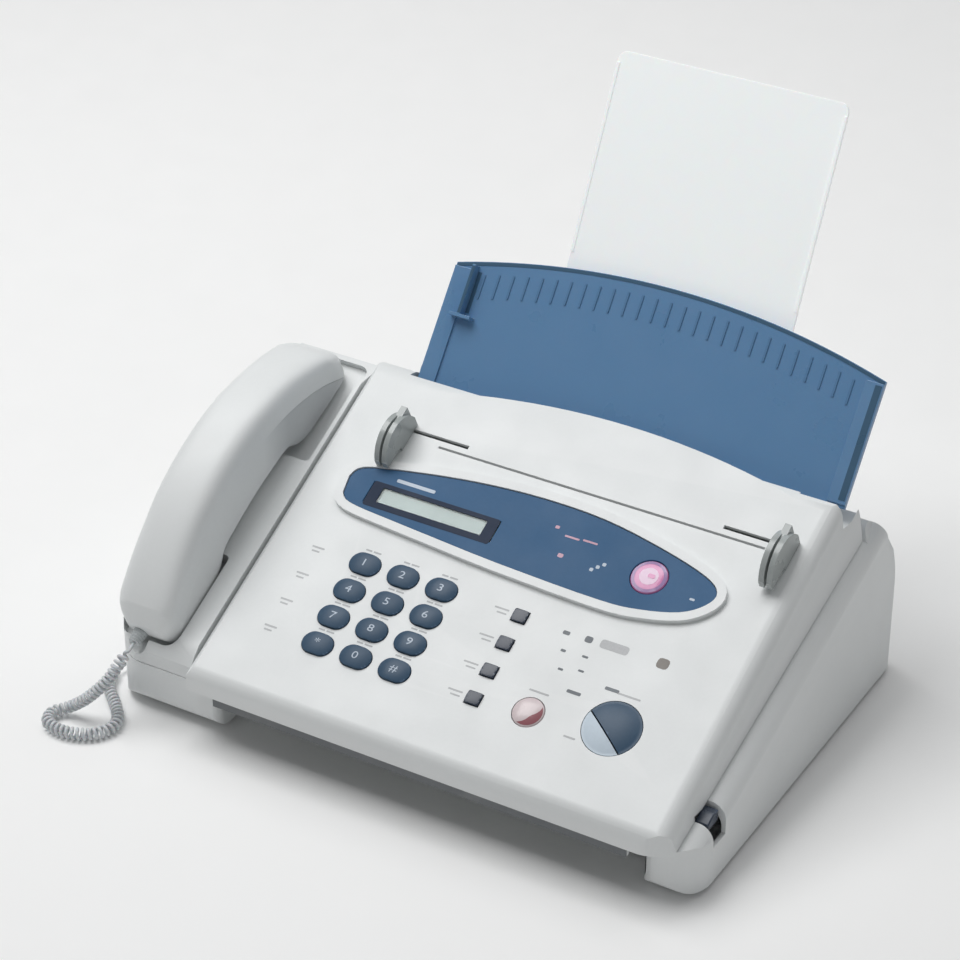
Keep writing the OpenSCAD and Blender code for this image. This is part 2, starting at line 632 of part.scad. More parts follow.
module paper_cover() color(cover_blue) {
  mid = cover_left + cover_w / 2;
  rise = cover_mid_h - cover_end_h;
  r = (pow(cover_w / 2, 2) + rise * rise) / (2 * rise);
  on_cover() {
    intersection() {
      translate([0, 0, -cover_t]) linear_extrude(cover_t) area(cover_left, 0, cover_left + cover_w, 100);
      translate([mid, cover_mid_h - r, -cover_t]) cylinder(h = cover_t, r = r, $fn = 240);
    }
    for (x = [cover_left, cover_left + cover_w - 11]) box([x, 2, 0], [x + 11, cover_end_h - 2, 1.2]);
    box([cover_left + 13, 44, 0], [cover_left + 15, 74, 6]);
    box([cover_left + 8, 42, 0], [cover_left + 22, 44, 6]);
  }
  in_case() for (x = [-99.8, 140]) difference() {
    across(x, x + 3) union() {
      translate(cover_axis) circle(3.6);
      polygon([for (q = [[-2.4, 2.6], [-2, -3], [-6.4, -1], [-3.4, 3.4]]) cover_axis + q]);
    }
    bar(cover_axis, 2 + running_gap, x - 1, x + 4);
  }
}
module paper_support() color([0.90, 0.94, 0.93]) on_support() {
  x0 = support_x - support_w / 2;
  x1 = support_x + support_w / 2;
  v0 = support_top_v - support_len;
  translate([0, 0, -support_t]) linear_extrude(support_t) round_area(x0, v0, x1, support_top_v, 2, 6);
  for (x = [x0, x1 - 2]) box([x, 6, 0], [x + 2, support_top_v - 7, 0.6]);
}

// ---- Keys ----
module key_body(rise) {
  translate([0, 0, -7]) linear_extrude(7) children();
  translate([0, 0, -4.6]) linear_extrude(1.4) scale(1.13) children();
  intersection() {
    translate([0, 0, -1]) linear_extrude(rise + 1) children();
    translate([0, 0, rise - 26]) sphere(26, $fn = 64);
  }
}
module digit_key(i) color(key_blue) on_panel() translate(key_at(i)) key_body(key_rise) oval_area(key_a, key_b);
module function_key(i) color(dark) on_panel() translate(function_at(i)) key_body(1.8)
  round_area(-4.3, -3.8, 4.3, 3.8, 1, 1);
module stop_key() color([0.85, 0.72, 0.72]) on_panel() translate(stop_at) key_body(1.8) circle(stop_r);
module start_half(side) intersection() {
  circle(start_r);
  rotate(split_angle) translate([split_d + (side > 0 ? 0.4 : -40.4), -30]) square([40, 60]);
}
module start_cap(side) {
  translate([0, 0, -7]) linear_extrude(7) start_half(side);
  intersection() {
    translate([0, 0, -1]) linear_extrude(4) start_half(side);
    translate([0, 0, 2.2 - 60]) sphere(60, $fn = 72);
  }
}
module start_key() color(key_blue) on_panel() translate(start_at) start_cap(1);
module copy_key() color([0.68, 0.78, 0.88]) on_panel() translate(start_at) start_cap(-1);
module message_key() color([0.85, 0.45, 0.65]) on_panel() translate(message_at) {
  translate([0, 0, -7]) cylinder(h = 7 + bezel_top, r = message_r);
  intersection() {
    cylinder(h = 6, r = message_r);
    translate([0, 0, 3.4 - 50]) sphere(50, $fn = 72);
  }
}

// ---- Handset ----
module handset_plan(inset) {
  w = handset_w / 2 - inset;
  translate([handset_x, 0, 0]) round_area(-w, 4 + inset, w, 213 - inset, 14 - inset, 17 - inset);
}
module handset_half(upper) difference() {
  intersection() {
    across(handset_x - handset_w / 2, handset_x + handset_w / 2) polygon(handset_side);
    translate([0, 0, -60]) linear_extrude(160) handset_plan(0);
    parting(upper);
  }
  intersection() {
    across(handset_x - handset_w / 2 + wall, handset_x + handset_w / 2 - wall)
      polygon(shifted(handset_side, -wall));
    translate([0, 0, -60]) linear_extrude(160) handset_plan(wall);
  }
}
module parting(upper) {
  r = crown_r - parting_drop;
  if (upper) difference() {
    box([-half_w, -20, -40], [0, 230, 90]);
    bar(crown_at, r, -half_w - 1, 1, $fn = 128);
  } else intersection() {
    box([-half_w, -20, -40], [0, 230, 90]);
    bar(crown_at, r - 0.1, -half_w - 1, 1, $fn = 128);
  }
}
module handset_top() color(shell_white) on_panel() {
  handset_half(true);
  translate([cord_exit[0], 7, -2]) rotate([90, 0, 0]) cylinder(h = 9, r = 5);
}
module handset_bottom() color(shell_white) on_panel() handset_half(false);
module handset_capsules() color(dark) on_panel()
  for (s = [31, 184]) translate([handset_x, s, cup_h + wall + 0.1]) cylinder(h = 8, r = 14);

// ---- Cord ----
cord_path = curve(cord_route, cord_steps);
function ring_frame(t) = let (side = unit(cross(t, [0, 0, 1])), up = cross(side, t)) [side, up];
function ring(p, t, r) =
  let (f = ring_frame(t)) [for (i = [0 : 9]) p + r * (cos(36 * i) * f[0] + sin(36 * i) * f[1])];
module handset_cord() color([0.88, 0.89, 0.9]) in_case() {
  n = len(cord_path);
  tail = n - 4 * cord_steps;
  points = [for (i = [0 : n - 1])
    let (t = unit(cord_path[min(i + 1, n - 1)] - cord_path[max(i - 1, 0)]))
    each ring(cord_path[i], t, i < tail ? coil_r : tail_r)];
  sides = [for (i = [0 : n - 2], k = [0 : 9])
    let (a = 10 * i, b = (k + 1) % 10) [a + k, a + b, a + 10 + b, a + 10 + k]];
  polyhedron(points, concat(sides, [[for (k = [9 : -1 : 0]) k], [for (k = [0 : 9]) 10 * (n - 1) + k]]));
}
module cord_plug() color([0.8, 0.85, 0.88, 0.6]) in_case() {
  box([plug_x - 3, 60, plug_z - 3], [plug_x + 3, 82, plug_z + 3]);
}

base_case();
handset_cradle();
rubber_feet();
case_screws();
side_frames();
exit_guide();
print_head();
image_sensor();
main_board();
power_board();
speaker();
feed_motor();
line_jacks();
power_inlet();
handset_jack();
motor_pinion();
idler_gear();
platen_roller();
platen_gear();
feed_roller();
supply_spool();
take_up_spool();
hook_switch();
cover_latch();
top_cover();
paper_tray();
hinge_pins();
lcd_bezel();
lcd_window();
lcd_module();
panel_board();
guide_left();
guide_right();
paper_cover();
paper_support();
handset_top();
handset_bottom();
handset_capsules();
handset_cord();
cord_plug();
for (i = [0 : 11]) digit_key(i);
for (i = [0 : 3]) function_key(i);
stop_key();
start_key();
copy_key();
message_key();
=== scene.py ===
import json
import math

import bmesh
import bpy
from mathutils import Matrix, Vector


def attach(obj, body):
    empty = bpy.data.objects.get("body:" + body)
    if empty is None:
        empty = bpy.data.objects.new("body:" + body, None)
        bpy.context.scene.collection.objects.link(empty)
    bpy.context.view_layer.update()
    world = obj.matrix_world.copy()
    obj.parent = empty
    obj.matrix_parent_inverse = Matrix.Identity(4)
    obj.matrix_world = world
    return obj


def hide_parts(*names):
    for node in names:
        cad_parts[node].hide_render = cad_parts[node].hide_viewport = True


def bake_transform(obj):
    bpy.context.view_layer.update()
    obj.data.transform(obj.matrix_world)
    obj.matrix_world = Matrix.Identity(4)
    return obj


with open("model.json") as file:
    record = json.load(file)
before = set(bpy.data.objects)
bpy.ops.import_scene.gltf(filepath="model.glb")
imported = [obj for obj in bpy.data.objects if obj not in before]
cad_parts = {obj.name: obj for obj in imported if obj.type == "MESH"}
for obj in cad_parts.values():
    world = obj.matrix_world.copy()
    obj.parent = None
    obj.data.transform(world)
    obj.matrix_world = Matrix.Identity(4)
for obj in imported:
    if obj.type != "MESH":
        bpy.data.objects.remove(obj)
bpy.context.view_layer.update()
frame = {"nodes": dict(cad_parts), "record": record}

MM = 0.001
CASE_Y = -155.07             # the case's front edge in the row frame
SLOPE = math.radians(25.5)   # of the control panel
PANEL_Z = 47.7               # height of the panel's front edge
HANDSET_X = -162.25
COVER_FOOT = (197.5, 133.4)  # where the paper cover stands: case y and z
COVER_SLOPE = 51.4
KEY_NAMES = ["key_1", "key_2", "key_3", "key_4", "key_5", "key_6", "key_7", "key_8", "key_9",
             "key_star", "key_0", "key_hash"]
node_body = {node: body for body, nodes in frame["record"]["behaviour"]["bodies"].items() for node in nodes}
node_slot = {part["node"]: part["material_slot"] for part in frame["record"]["subparts"]}


# ---- Places, in millimetres of the case, to metres of the row frame ----
def case(x, y, z):
    return Vector((x, y + CASE_Y, z)) * MM


def panel(x, s, h):
    """x to the right, s up the slope, h above the panel's face."""
    return case(x, s * math.cos(SLOPE) - h * math.sin(SLOPE),
                PANEL_Z + s * math.sin(SLOPE) + h * math.cos(SLOPE))


def tilted(y0, z0, slope):
    """A placing function for a plane that starts at y0, z0 and rises at slope degrees."""
    a = math.radians(slope)

    def place(x, v, h):
        return case(x, y0 + v * math.cos(a) - h * math.sin(a), z0 + v * math.sin(a) + h * math.cos(a))
    return place


on_cover = tilted(*COVER_FOOT, COVER_SLOPE)


# ---- Camera, solved from the panel's key grid and the case's edges ----
CAMERA_AT = (719.2, -1123.9, 1046.3)
CAMERA_LENS = 116.22
CAMERA_DIP = 32.25
CAMERA_TURN = 30.49
camera_data = bpy.data.cameras.new("camera")
camera_data.sensor_width = 36
camera_data.lens = CAMERA_LENS
camera_data.clip_end = 20
camera = bpy.data.objects.new("camera", camera_data)
bpy.context.collection.objects.link(camera)
camera.location = case(*CAMERA_AT)
camera.rotation_euler = (math.radians(90 - CAMERA_DIP), 0, math.radians(CAMERA_TURN))
bpy.context.scene.camera = camera


# ---- Mesh helpers ----
def new_object(name, verts, faces, smooth=True, sharp=35):
    mesh = bpy.data.meshes.new(name)
    mesh.from_pydata([tuple(v) for v in verts], [], faces)
    tidy = bmesh.new()
    tidy.from_mesh(mesh)
    bmesh.ops.remove_doubles(tidy, verts=tidy.verts, dist=1e-7)
    bmesh.ops.recalc_face_normals(tidy, faces=tidy.faces)
    tidy.to_mesh(mesh)
    tidy.free()
    if smooth:
        mesh.shade_smooth()
        mesh.set_sharp_from_angle(angle=math.radians(sharp))
    obj = bpy.data.objects.new(name, mesh)
    bpy.context.collection.objects.link(obj)
    return obj


def loft(name, rings, closed=True, **kw):
    """Skins equal rings of points, with flat ends."""
    n = len(rings[0])
    verts = [p for ring in rings for p in ring]
    faces = []
    for i in range(len(rings) - 1):
        for k in range(n):
            a, b = i * n + k, i * n + (k + 1) % n
            faces.append((a, b, b + n, a + n))
    if closed:
        faces.append(tuple(range(n - 1, -1, -1)))
        faces.append(tuple((len(rings) - 1) * n + k for k in range(n)))
    return new_object(name, verts, faces, **kw)


def catmull(a, b, c, d, t):
    """The Catmull-Rom curve between b and c."""
    return 0.5 * (2 * b + (c - a) * t + (2 * a - 5 * b + 4 * c - d) * t * t
                  + (3 * b - a - 3 * c + d) * t * t * t)


def curve(points, n):
    """A smooth line through the points, n steps between each two."""
    p = [Vector(q) for q in points]
    out = []
    for i in range(len(p) - 1):
        last = i == len(p) - 2
        for k in range(n + 1 if last else n):
            out.append(catmull(p[max(i - 1, 0)], p[i], p[i + 1], p[min(i + 2, len(p) - 1)], k / n))
    return out


def frames(points):
    """Tangent, side and up at each point, carried along without twist."""
    out = []
    up = Vector((0, 0, 1))
    for i, p in enumerate(points):
        t = (points[min(i + 1, len(points) - 1)] - points[max(i - 1, 0)]).normalized()
        side = t.cross(up)
        if side.length < 1e-6:
            side = t.cross(Vector((1, 0, 0)))
        side.normalize()
        up = side.cross(t).normalized()
        out.append((t, side, up))
    return out


def tube(name, points, radius, sides=10, **kw):
    rings = []
    for p, (t, side, up) in zip(points, frames(points)):
        rings.append([p + radius * (math.cos(2 * math.pi * k / sides) * side
                                    + math.sin(2 * math.pi * k / sides) * up) for k in range(sides)])
    return loft(name, rings, sharp=60, **kw)


def bevel(obj, width, segments=3, angle=32):
    mod = obj.modifiers.new("round", "BEVEL")
    mod.width = width
    mod.segments = segments
    mod.limit_method = "ANGLE"
    mod.angle_limit = math.radians(angle)
    mod.use_clamp_overlap = True
    mod.harden_normals = False


def extruded(name, outline, low, high, place, **kw):
    """A flat outline of (x, s) points, drawn from height low to high by a placing function."""
    return loft(name, [[place(x, s, h) for x, s in outline] for h in (low, high)], **kw)


def rounded(x0, s0, x1, s1, r, n=5):
    out = []
    corners = ((x1 - r, s1 - r, 0), (x0 + r, s1 - r, 90), (x0 + r, s0 + r, 180), (x1 - r, s0 + r, 270))
    for cx, cs, a in corners:
        for k in range(n + 1):
            t = math.radians(a + 90 * k / n)
            out.append((cx + r * math.cos(t), cs + r * math.sin(t)))
    return out


def circle(x, s, r, n=40):
    return [(x + r * math.cos(2 * math.pi * k / n), s + r * math.sin(2 * math.pi * k / n)) for k in range(n)]


def joined(name, objects):
    """One object from several, which go."""
    meshes = []
    verts, faces = [], []
    for o in objects:
        base = len(verts)
        verts += [v.co.copy() for v in o.data.vertices]
        faces += [tuple(base + i for i in poly.vertices) for poly in o.data.polygons]
        meshes.append(o.data)
        bpy.data.objects.remove(o)
    for m in meshes:
        bpy.data.meshes.remove(m)
    return new_object(name, verts, faces, sharp=40)


# ---- Handset cord: a coiled lead, then a straight tail into its plug ----
WIRE_R = 1.0
COIL_R = 2.75
COIL_PITCH = 3.1
TAIL_AT = Vector((-193.6, 20, 4.5))
cord_exit = Vector((HANDSET_X - 4, -1.3, 44.86))
cord_route = [cord_exit, cord_exit + Vector((0, -5.4, -2.58)), (-168, -13, 38), (-172, -19, 29),
              (-179, -23, 20), (-187, -25, 12), (-196, -27, 5.4), (-202, -34, 4.2), (-198, -43, 4.2),
              (-185, -45, 4.2), (-172, -40, 4.2), (-165, -30, 4.2), (-167, -20, 4.2), (-176, -10, 4.2),
              (-187, 0, 4.2), (-194, 12, 4.2), (-193, 26, 5), (-187, 39, 9.5), (-180, 50, 14.6),
              (-178, 61, 16)]


def resampled(points, step):
    """The same line, as points one step apart."""
    out = [points[0].copy()]
    left = step
    for a, b in zip(points, points[1:]):
        d = (b - a).length
        at = left
        while at <= d:
            out.append(a + (b - a) * (at / d))
            at += step
        left = at - d
    if (out[-1] - points[-1]).length > step * 0.3:
        out.append(points[-1].copy())
    return out


def cord_line():
    """The curl's radius grows from nothing over the first few millimetres and dies away at the tail."""
    step = 0.25
    line = resampled(curve(cord_route, 24), step)
    tail_from = min(range(len(line)), key=lambda i: (line[i] - TAIL_AT).length) * step
    head = 4.5
    grow = 7.0
    turn = 0.0
    out = []
    for i, (p, (t, side, up)) in enumerate(zip(line, frames(line))):
        at = i * step
        share = max(0, min(1, (at - head) / grow, (tail_from - at) / grow))
        share = share * share * (3 - 2 * share)
        turn += 2 * math.pi * step / COIL_PITCH * share
        out.append(p + COIL_R * share * (math.cos(turn) * up + math.sin(turn) * side))
    return out


cord_path = [case(*p) for p in cord_line()]
cord = tube("handset_lead", cord_path, WIRE_R * MM, sides=8)
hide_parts("handset_cord")


# ---- Materials ----
def material(name, color, rough, metal=0.0, vary=0.02, vary_scale=16.0, grain=1400.0, grain_mm=0.012,
             rough_vary=0.07, wear=0.0, wear_color=(0.5, 0.5, 0.48), dust=0.0, coat=0.0, coat_rough=0.08,
             transmission=0.0, ior=1.49, glow=0.0, subsurface=0.0, stripes=None, shade_fade=None):
    """Moulded plastic, rubber or metal: mottled colour, mottled gloss, fine grain and worn edges."""
    mat = bpy.data.materials.new(name)
    mat.use_nodes = True
    tree = mat.node_tree
    link = tree.links.new
    bsdf = tree.nodes["Principled BSDF"]
    bsdf.inputs["Metallic"].default_value = metal
    bsdf.inputs["IOR"].default_value = ior
    bsdf.inputs["Coat Weight"].default_value = coat
    bsdf.inputs["Coat Roughness"].default_value = coat_rough
    bsdf.inputs["Transmission Weight"].default_value = transmission
    bsdf.inputs["Subsurface Weight"].default_value = subsurface
    bsdf.inputs["Subsurface Scale"].default_value = 0.002
    # Emission; on the LCD and the paper support it is painted light
    if glow:
        bsdf.inputs["Emission Color"].default_value = (*color, 1)
        bsdf.inputs["Emission Strength"].default_value = glow
    coords = tree.nodes.new("ShaderNodeTexCoord")

    def noise(scale, detail, stretch=(1, 1, 1)):
        mapping = tree.nodes.new("ShaderNodeMapping")
        mapping.inputs["Scale"].default_value = stretch
        node = tree.nodes.new("ShaderNodeTexNoise")
        node.inputs["Scale"].default_value = scale
        node.inputs["Detail"].default_value = detail
        link(coords.outputs["Object"], mapping.inputs["Vector"])
        link(mapping.outputs["Vector"], node.inputs["Vector"])
        return node.outputs["Fac"]

    def spread(value, low, high, lo_in=0.3, hi_in=0.7):
        node = tree.nodes.new("ShaderNodeMapRange")
        node.inputs["From Min"].default_value = lo_in
        node.inputs["From Max"].default_value = hi_in
        node.inputs["To Min"].default_value = low
        node.inputs["To Max"].default_value = high
        link(value, node.inputs["Value"])
        return node.outputs["Result"]

    def mix(fac, a, b):
        node = tree.nodes.new("ShaderNodeMix")
        node.data_type = "RGBA"
        link(fac, node.inputs["Factor"])
        for socket, value in ((node.inputs["A"], a), (node.inputs["B"], b)):
            if isinstance(value, tuple):
                socket.default_value = (*value, 1)
            else:
                link(value, socket)
        return node.outputs["Result"]

    stretch = stripes or (1, 1, 1)
    light = tuple(min(1, c * (1 + vary)) for c in color)
    shade = tuple(c * (1 - vary) for c in color)
    tint = mix(spread(noise(vary_scale, 4, stretch), 0, 1), shade, light)
    speck = mix(spread(noise(grain * 0.35, 2), 0, 0.35), tint, tuple(c * (1 - 2.2 * vary) for c in color))
    if dust:
        speck = mix(spread(noise(45, 6), 0, dust, 0.55, 0.75), speck, (0.62, 0.6, 0.55))
    if wear:
        geometry = tree.nodes.new("ShaderNodeNewGeometry")
        edge = spread(geometry.outputs["Pointiness"], 0, wear, 0.53, 0.62)
        speck = mix(edge, speck, wear_color)
    # Painted shade: the colour darkens towards a given colour along the object's Y
    if shade_fade:
        place = tree.nodes.new("ShaderNodeSeparateXYZ")
        link(coords.outputs["Object"], place.inputs["Vector"])
        shade_color, near_y, far_y = shade_fade
        speck = mix(spread(place.outputs["Y"], 0, 1, near_y, far_y), speck, shade_color)
    link(speck, bsdf.inputs["Base Color"])
    link(spread(noise(38, 5, stretch), rough - rough_vary, rough + rough_vary), bsdf.inputs["Roughness"])
    bump = tree.nodes.new("ShaderNodeBump")
    bump.inputs["Strength"].default_value = 1.0
    bump.inputs["Distance"].default_value = grain_mm * MM
    link(noise(grain, 3, stretch), bump.inputs["Height"])
    link(bump.outputs["Normal"], bsdf.inputs["Normal"])
    return mat


SHELL = (0.80, 0.82, 0.82)
MATERIALS = {
    "shell": material("shell", SHELL, 0.42, vary=0.015, wear=0.25, wear_color=(0.86, 0.87, 0.87), dust=0.04),
    "trim_grey": material("trim_grey", (0.50, 0.53, 0.54), 0.38, vary=0.03, wear=0.3,
                          wear_color=(0.7, 0.72, 0.72)),
    "key_blue": material("key_blue", (0.038, 0.082, 0.14), 0.38, vary=0.06, ior=1.38, grain_mm=0.004,
                         wear=0.35, wear_color=(0.2, 0.3, 0.45)),
    "cover_blue": material("cover_blue", (0.12, 0.26, 0.46), 0.32, vary=0.014, vary_scale=5, coat=0.2,
                           grain_mm=0.006, wear=0.4, wear_color=(0.28, 0.42, 0.6), subsurface=0.1),
    "bezel_blue": material("bezel_blue", (0.045, 0.125, 0.25), 0.5, vary=0.05, ior=1.28, grain_mm=0.004,
                           wear=0.3, wear_color=(0.2, 0.3, 0.5)),
    # The paper support's emission is painted light that brightens it
    "support_clear": material("support_clear", (0.86, 0.90, 0.90), 0.34, vary=0.006, grain_mm=0.004,
                              rough_vary=0.03, subsurface=0.25, glow=0.28),
    "window": material("window", (0.75, 0.80, 0.78), 0.08, rough_vary=0.04, vary=0.02, grain_mm=0.001,
                       transmission=0.95, ior=1.45),
    # The LCD's emission is painted light that brightens it
    "lcd": material("lcd", (0.50, 0.61, 0.62), 0.35, vary=0.05, vary_scale=60, grain=2600, grain_mm=0.004,
                    glow=0.2),
    "function_dark": material("function_dark", (0.022, 0.034, 0.06), 0.28, vary=0.08, grain_mm=0.006,
                              wear=0.4, wear_color=(0.2, 0.25, 0.33)),
    "stop_red": material("stop_red", (0.70, 0.60, 0.61), 0.3, vary=0.05, coat=0.3, grain_mm=0.005),
    "copy_pale": material("copy_pale", (0.56, 0.65, 0.73), 0.4, vary=0.04, ior=1.4, grain_mm=0.005),
    "message_pink": material("message_pink", (0.62, 0.20, 0.42), 0.25, vary=0.05, coat=0.5, grain_mm=0.004,
                             glow=0.05),
    "black_plastic": material("black_plastic", (0.03, 0.032, 0.035), 0.45, vary=0.1, dust=0.08),
    "nylon": material("nylon", (0.72, 0.69, 0.58), 0.4, vary=0.04, subsurface=0.1),
    "rubber": material("rubber", (0.03, 0.03, 0.032), 0.7, vary=0.12, grain=900, grain_mm=0.05, dust=0.15),
    "steel": material("steel", (0.56, 0.57, 0.58), 0.32, metal=1.0, vary=0.06, stripes=(1, 14, 14), grain=500,
                      grain_mm=0.006, rough_vary=0.1),
    "brass": material("brass", (0.72, 0.52, 0.22), 0.3, metal=1.0, vary=0.08, rough_vary=0.1, grain_mm=0.006),
    "board": material("board", (0.05, 0.22, 0.10), 0.4, vary=0.2, vary_scale=220, grain=700, grain_mm=0.03),
    "power_board": material("power_board", (0.34, 0.24, 0.09), 0.5, vary=0.15, vary_scale=150, grain=700,
                            grain_mm=0.03),
    "cord": material("cord", (0.66, 0.69, 0.71), 0.38, vary=0.04, grain=1800, grain_mm=0.01, subsurface=0.1,
                     dust=0.08),
    "plug_clear": material("plug_clear", (0.75, 0.79, 0.82), 0.12, vary=0.02, grain_mm=0.003,
                           transmission=0.7, ior=1.4),
    # The lower handset shell, painted darker towards its ear end as shade
    "shell_low_painted_shade": material("shell_low_painted_shade", SHELL, 0.45, vary=0.015, dust=0.04,
                          shade_fade=((0.56, 0.58, 0.59), -0.055, -0.03)),
    "guide_grey": material("guide_grey", (0.38, 0.41, 0.405), 0.3, vary=0.03, coat=0.3, grain_mm=0.005),
    "slot_grey": material("slot_grey", (0.55, 0.57, 0.58), 0.5, vary=0.03),
    "ring_purple": material("ring_purple", (0.34, 0.20, 0.42), 0.3, vary=0.06, coat=0.4, grain_mm=0.004),
    "pink_pale": material("pink_pale", (0.74, 0.52, 0.68), 0.3, vary=0.05, coat=0.4, grain_mm=0.004),
    # Dark grey painted shade for the strip under the lid's front edge
    "lip_shade_grey": material("lip_shade_grey", (0.16, 0.17, 0.18), 0.5, vary=0.08, dust=0.1),
    "ink_grey": material("ink_grey", (0.50, 0.51, 0.52), 0.5, vary=0.1, grain=2200, grain_mm=0.01),
    "ink_dark": material("ink_dark", (0.16, 0.18, 0.20), 0.5, vary=0.15, grain=2200, grain_mm=0.01),
    "ink_pale": material("ink_pale", (0.52, 0.60, 0.70), 0.45, vary=0.08, grain=2200, grain_mm=0.01),
    "ink_pink": material("ink_pink", (0.62, 0.36, 0.46), 0.45, vary=0.1, grain=2200, grain_mm=0.01),
    # Dark red painted shade for the stop key's crescent
    "stop_shade_red": material("stop_shade_red", (0.32, 0.11, 0.13), 0.3, vary=0.06, coat=0.4, grain_mm=0.005),
    "ink_brown": material("ink_brown", (0.19, 0.17, 0.15), 0.45, vary=0.1, grain=2200, grain_mm=0.01),
    # A darker copy of the cover's blue, painted on the ribs as their shade
    "rib_shaded_blue": material("rib_shaded_blue", (0.095, 0.215, 0.39), 0.32, vary=0.04, coat=0.2, grain_mm=0.006),
    # Darker blue for the cover's rim, and for shade painted on the cover
    "rim_and_shade_blue": material("rim_and_shade_blue", (0.05, 0.12, 0.20), 0.3, vary=0.05, coat=0.3, grain_mm=0.006),
    "mask_navy": material("mask_navy", (0.012, 0.026, 0.06), 0.5, vary=0.1, ior=1.28, grain_mm=0.003),
}


def dress(obj, slot, kind=None, body=None):
    obj.data.materials.clear()
    obj.data.materials.append(MATERIALS[kind or slot])
    if body:
        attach(obj, body)
    return obj


cord.data.materials.append(MATERIALS["cord"])
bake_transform(cord)

# ---- The CAD nodes: rounded edges and finished materials ----
EDGE = {"base_case": 1.4, "handset_cradle": 1.6, "top_cover": 1.2, "paper_tray": 0.9, "lcd_bezel": 0.5,
        "paper_cover": 0.5, "paper_support": 0.25, "guide_left": 0.6, "guide_right": 0.6, "stop_key": 0.8,
        "start_key": 0.7, "copy_key": 0.7, "message_key": 0.8, "cover_latch": 0.8, "rubber_feet": 0.8,
        "cord_plug": 0.6, "lcd_window": 0.2, "lcd_module": 0.2}
EDGE.update({name: 0.9 for name in KEY_NAMES})
EDGE.update({f"function_key_{i}": 0.6 for i in range(1, 5)})

KIND = {"guide_left": "guide_grey", "guide_right": "guide_grey"}

for name, obj in frame["nodes"].items():
    if obj.hide_render:
        continue
    kind = KIND.get(name, node_slot[name])
    obj.data.materials.clear()
    obj.data.materials.append(MATERIALS[kind])
    weld = obj.modifiers.new("weld", "WELD")
    weld.merge_threshold = 1e-5
    flat = obj.modifiers.new("flat", "DECIMATE")
    flat.decimate_type = "DISSOLVE"
    flat.angle_limit = math.radians(0.6)
    bevel(obj, EDGE.get(name, 0.3) * MM, segments=3 if name in EDGE else 2)
    for poly in obj.data.polygons:
        poly.use_smooth = True
    normals = obj.modifiers.new("normals", "WEIGHTED_NORMAL")
    normals.keep_sharp = True

# ---- Handset: two smooth shells lofted along the panel's slope ----
CROWN_AT = (106, -106)
CROWN_R = 156
PART_R = 139
CUP_H = -11.5
HALF_W = 19.25
HANDSET_ENDS = (5.3, 211.6)


def arc_points(c, r, a0, a1, n):
    return [(c[0] + r * math.cos(math.radians(a0 + (a1 - a0) * i / n)),
             c[1] + r * math.sin(math.radians(a0 + (a1 - a0) * i / n))) for i in range(n + 1)]


handset_side = arc_points(CROWN_AT, CROWN_R, 127.5, 54.3, 30) + [tuple(q) for q in curve(
    [(203, 14.5), (208.5, 7), (212, -1), (211.4, -7), (206.6, -10.8), (200, CUP_H), (168, CUP_H),
     (160, CUP_H + 0.8), (150, -7), (142, 0.4), (126, 2.6), (104, 3.4), (82, 2.6), (68, 0.6), (60, -6),
     (51, CUP_H + 0.8), (43, CUP_H), (20, CUP_H), (11, CUP_H + 0.8), (6, -5), (5, 6)], 4)]


def heights(s):
    """Lowest and highest point of the handset's side outline at one place along it."""
    hits = []
    for (s0, h0), (s1, h1) in zip(handset_side, handset_side[1:] + handset_side[:1]):
        if (s0 - s) * (s1 - s) <= 0 and s0 != s1:
            hits.append(h0 + (h1 - h0) * (s - s0) / (s1 - s0))
    return min(hits), max(hits)


def half_width(s):
    """Half the handset's width, with its two ends rounded in plan."""
    w = HALF_W
    for end, r in ((4, 14), (213, 17)):
        d = abs(s - end)
        if d < r:
            w = HALF_W - r + math.sqrt(max(0, r * r - (r - d) ** 2))
    return w


def handset_ring(s, inset):
    """The handset's section at s: a rounded rectangle, softer above than below."""
    low, high = heights(s)
    w = half_width(s) - inset
    low, high = low + inset, high - inset
    mid = low + (high - low) * 0.45
    ring = []
    n = 56
    for k in range(n):
        a = 2 * math.pi * k / n
        c, d = math.cos(a), math.sin(a)
        power = 4.2 if d > 0 else 6.0
        x = w * math.copysign(abs(c) ** (2 / power), c)
        reach = high - mid if d > 0 else mid - low
        h = mid + reach * math.copysign(abs(d) ** (2 / power), d)
        ring.append(panel(HANDSET_X + x, s, h))
    return ring


def handset_solid(name, inset):
    lo, hi = HANDSET_ENDS[0] + inset, HANDSET_ENDS[1] - inset
    stations = [lo + (hi - lo) * (1 - math.cos(math.pi * i / 110)) / 2 for i in range(111)]
    return loft(name, [handset_ring(s, inset) for s in stations])


def parting_cylinder(r):
    ring = circle(CROWN_AT[0], CROWN_AT[1], r, 180)
    return loft("parting", [[panel(x, s, h) for s, h in ring] for x in (HANDSET_X - 40, HANDSET_X + 40)])


def carve(obj, tool, operation):
    """Applies a boolean for good, and takes the tool away."""
    mod = obj.modifiers.new("carve", "BOOLEAN")
    mod.operation = operation
    mod.solver = "EXACT"
    mod.object = tool
    bpy.context.view_layer.update()
    mesh = bpy.data.meshes.new_from_object(obj.evaluated_get(bpy.context.evaluated_depsgraph_get()))
    obj.modifiers.remove(mod)
    obj.data = mesh
    bpy.data.objects.remove(tool)
    mesh.shade_smooth()
    mesh.set_sharp_from_angle(angle=math.radians(40))
    return obj


upper = carve(handset_solid("handset_upper", 0), parting_cylinder(PART_R), "DIFFERENCE")
bevel(upper, 0.5 * MM, angle=50)
dress(upper, "shell", body="handset")
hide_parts("handset_top")
lower = carve(handset_solid("handset_lower", 0.35), parting_cylinder(PART_R - 0.5), "INTERSECT")
bevel(lower, 0.4 * MM, angle=50)
